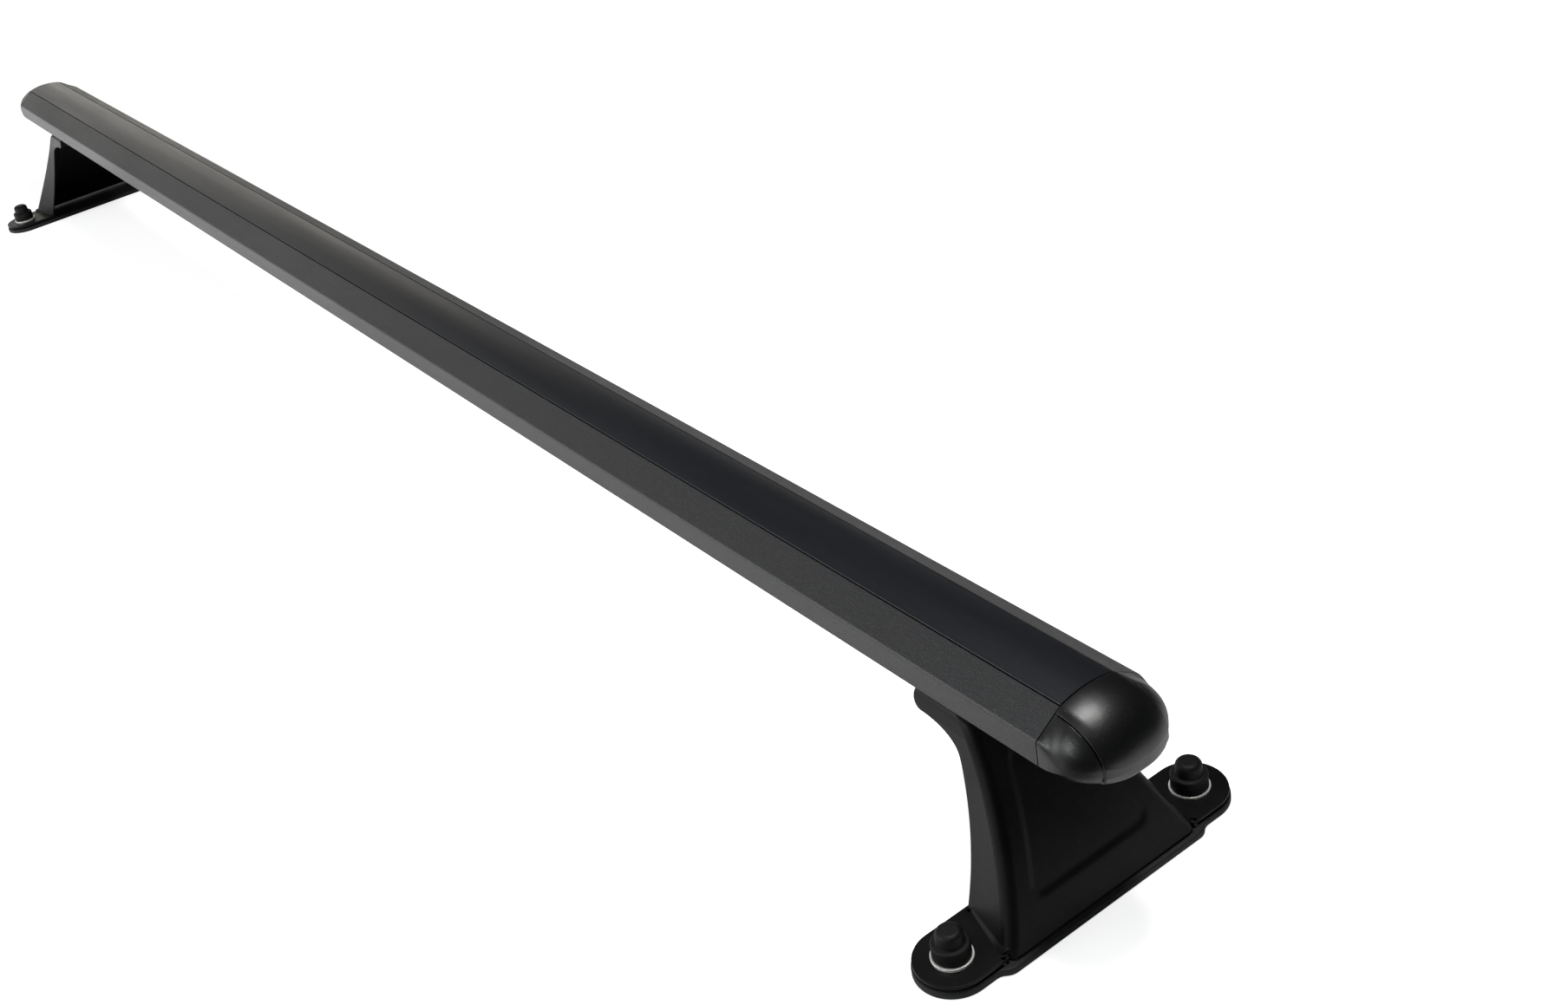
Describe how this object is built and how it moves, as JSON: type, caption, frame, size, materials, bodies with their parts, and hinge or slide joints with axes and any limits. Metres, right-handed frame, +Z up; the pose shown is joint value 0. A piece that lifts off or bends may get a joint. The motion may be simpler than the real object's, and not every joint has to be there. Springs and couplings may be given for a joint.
{
  "type": "roof rack crossbar",
  "caption": "Extruded roof rack crossbar with a rubber strip, round end caps and pressed steel feet that bolt down through rubber pads.",
  "frame": {"origin": "on the roof surface under the pads, at the middle of the bar", "axes": "+X along the bar, +Y across it towards the rear of the vehicle, +Z up"},
  "size_m": [1.5198, 0.1802, 0.1177],
  "materials": {
    "bar_powder_coat": "textured satin powder coat on aluminium",
    "strip_rubber": "smooth satin rubber",
    "cap_plastic": "finely grained moulded plastic",
    "pressed_steel": "semi-gloss black coating on pressed steel",
    "pad_rubber": "matte rubber",
    "cover_rubber": "matte moulded rubber",
    "washer_zinc": "bright zinc",
    "nut_zinc": "bright zinc",
    "clamp_steel": "zinc plated steel"
  },
  "bodies": {
    "crossbar": {"bar": "bar_powder_coat", "rubber_strip": "strip_rubber", "end_cap_left": "cap_plastic", "end_cap_right": "cap_plastic"},
    "left_foot": {"left_leg": "pressed_steel", "left_foot_pad": "pad_rubber", "left_channel_nut": "clamp_steel", "left_clamp_bolt_inner": "clamp_steel", "left_clamp_bolt_outer": "clamp_steel", "left_clamp_washer_inner": "clamp_steel", "left_clamp_washer_outer": "clamp_steel", "left_washer_front": "washer_zinc", "left_washer_rear": "washer_zinc", "left_nut_front": "nut_zinc", "left_nut_rear": "nut_zinc", "left_nut_cover_front": "cover_rubber", "left_nut_cover_rear": "cover_rubber"},
    "right_foot": {"right_leg": "pressed_steel", "right_foot_pad": "pad_rubber", "right_channel_nut": "clamp_steel", "right_clamp_bolt_inner": "clamp_steel", "right_clamp_bolt_outer": "clamp_steel", "right_clamp_washer_inner": "clamp_steel", "right_clamp_washer_outer": "clamp_steel", "right_washer_front": "washer_zinc", "right_washer_rear": "washer_zinc", "right_nut_front": "nut_zinc", "right_nut_rear": "nut_zinc", "right_nut_cover_front": "cover_rubber", "right_nut_cover_rear": "cover_rubber"}
  },
  "joints": [
    {"name": "left_foot_slide", "type": "slide", "parent": "crossbar", "child": "left_foot", "axis": [1, 0, 0], "range_m": [-0.03, 0.3]},
    {"name": "right_foot_slide", "type": "slide", "parent": "crossbar", "child": "right_foot", "axis": [-1, 0, 0], "range_m": [-0.03, 0.3]}
  ]
}
